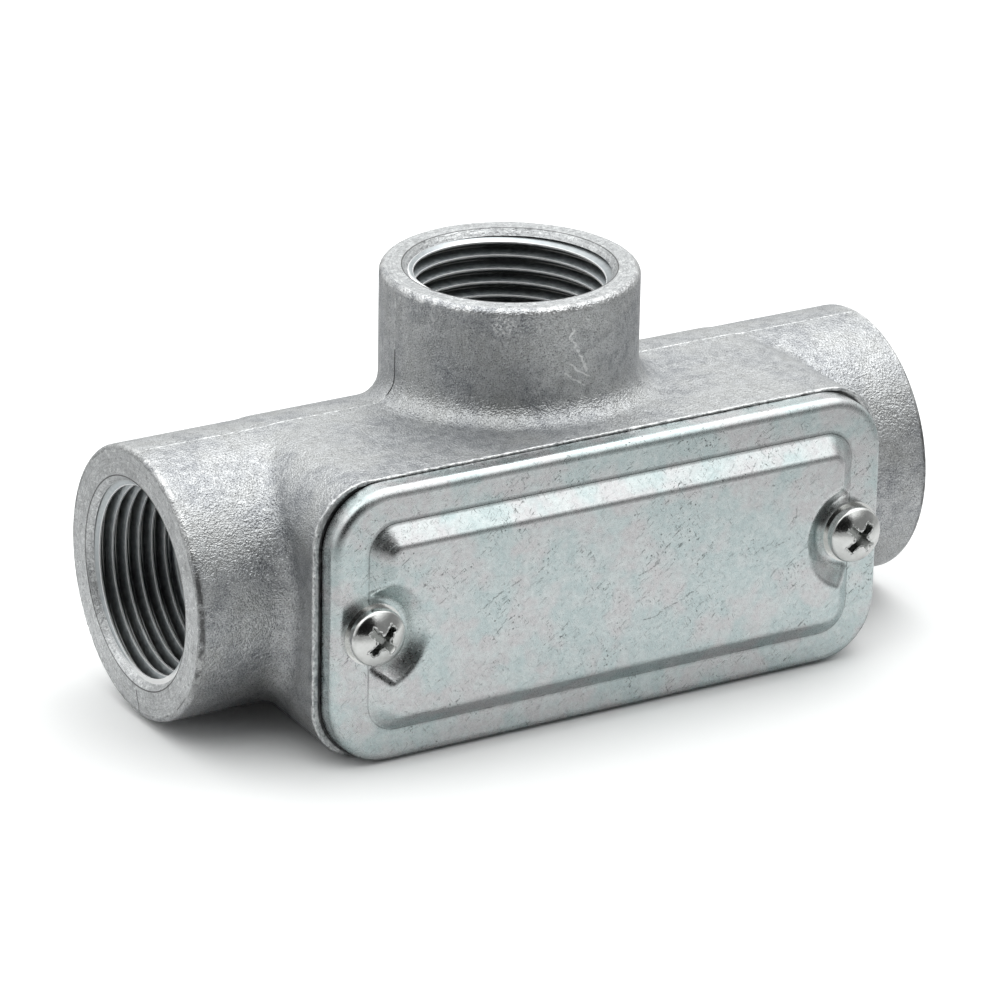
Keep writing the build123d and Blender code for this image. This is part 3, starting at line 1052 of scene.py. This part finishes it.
# Tent: levels in front, behind and above, where the wall turns from front to back, where the
# ceiling begins (sine of the height), and the dark gap round the camera
TENT_TINT = (0.985, 1.0, 0.995)
FRONT_LEVEL = 0.26
BACK_LEVEL = 0.85
CEILING_LEVEL = 1.65
WALL_TURNS = (-0.45, 0.35)
CEILING_FROM = 0.38
CEILING_FULL = 0.8
DARK_WAY = (-0.43, -0.78, 0.45)
DARK_INNER = 24
DARK_OUTER = 40
DARK_SHARE = 0.97


def make_floor():
    mesh = bpy.data.meshes.new("floor")
    corners = [(x * FLOOR_HALF, y * FLOOR_HALF, 0) for x, y in ((-1, -1), (1, -1), (1, 1), (-1, 1))]
    mesh.from_pydata(corners, [], [(0, 1, 2, 3)])
    floor = link_object("floor", mesh)
    material = bpy.data.materials.new("floor")
    material.use_nodes = True
    tree = material.node_tree
    tree.nodes.clear()
    diffuse = node(tree, "ShaderNodeBsdfDiffuse")
    x, y, _ = split(tree, node(tree, "ShaderNodeTexCoord").outputs["Object"])
    # For light that bounces off the floor: a painted pool of light near the object, dimmer far off
    away = ramp(tree, length(tree, x, y), *FLOOR_TURNS, smooth=True)
    lit_with_painted_light = mix_colour(tree, away, FLOOR_POOL_NEAR, FLOOR_DIM_FAR)
    # Painted shadow under the object, for light that bounces off the floor
    past_end = subtract(tree, size_of(tree, x), UNDER_HALF_X)
    past_side = subtract(tree, size_of(tree, y), UNDER_HALF_Y)
    under_shadow = ramp(tree, largest(tree, past_end, past_side), *UNDER_SHADOW_EDGE, smooth=True)
    lit_with_painted_light = mix_colour(tree, under_shadow, lit_with_painted_light, FLOOR_PAINTED_SHADOW)
    seen = node(tree, "ShaderNodeLightPath").outputs["Is Camera Ray"]
    tree.links.new(mix_colour(tree, seen, lit_with_painted_light, FLOOR_SEEN), diffuse.inputs["Color"])
    out = node(tree, "ShaderNodeOutputMaterial")
    tree.links.new(diffuse.outputs[0], out.inputs["Surface"])
    mesh.materials.append(material)


def lobe(tree, way, towards, inner, outer):
    """One within inner degrees of a direction, falling to nothing at outer degrees."""
    made = node(tree, "ShaderNodeVectorMath", operation="DOT_PRODUCT")
    tree.links.new(way, made.inputs[0])
    made.inputs[1].default_value = Vector(towards).normalized()
    return ramp(
        tree, made.outputs["Value"], math.cos(math.radians(outer)), math.cos(math.radians(inner)),
        smooth=True,
    )


def make_world():
    """White to the camera. The metal sees a tent: bright above and behind, open and dark in front."""
    world = bpy.data.worlds.new("studio")
    bpy.context.scene.world = world
    world.use_nodes = True
    tree = world.node_tree
    tree.nodes.clear()
    way = node(tree, "ShaderNodeTexCoord").outputs["Generated"]
    _, y, z = split(tree, way)
    wall = ramp(tree, y, *WALL_TURNS, FRONT_LEVEL, BACK_LEVEL, smooth=True)
    above = ramp(tree, z, CEILING_FROM, CEILING_FULL, smooth=True)
    below = subtract(tree, 1.0, above)
    level = add(tree, multiply(tree, wall, below), multiply(tree, above, CEILING_LEVEL))
    shade = multiply(tree, lobe(tree, way, DARK_WAY, DARK_INNER, DARK_OUTER), DARK_SHARE)
    level = multiply(tree, level, subtract(tree, 1.0, shade))
    studio = node(tree, "ShaderNodeBackground")
    studio.inputs["Color"].default_value = (*TENT_TINT, 1)
    tree.links.new(level, studio.inputs["Strength"])
    white = node(tree, "ShaderNodeBackground")
    white.inputs["Color"].default_value = (1, 1, 1, 1)
    white.inputs["Strength"].default_value = 1.0
    mix = node(tree, "ShaderNodeMixShader")
    tree.links.new(node(tree, "ShaderNodeLightPath").outputs["Is Camera Ray"], mix.inputs["Fac"])
    tree.links.new(studio.outputs[0], mix.inputs[1])
    tree.links.new(white.outputs[0], mix.inputs[2])
    out = node(tree, "ShaderNodeOutputWorld")
    tree.links.new(mix.outputs[0], out.inputs["Surface"])


def add_lamp(name, place, aim, width, height, power):
    """Oblong lamp, with its place, aim and sides in metres and its power in watts."""
    data = bpy.data.lights.new(name, "AREA")
    data.shape = "RECTANGLE"
    data.size = width
    data.size_y = height
    data.energy = power
    lamp = link_object(name, data)
    lamp.location = place
    direction = Vector(aim) - Vector(place)
    lamp.rotation_euler = direction.to_track_quat("-Z", "Y").to_euler()


make_floor()
make_world()
add_lamp("overhead", place=(0.35, 0.2, 0.95), aim=(0, 0, 0.03), width=0.7, height=0.6, power=1.6)
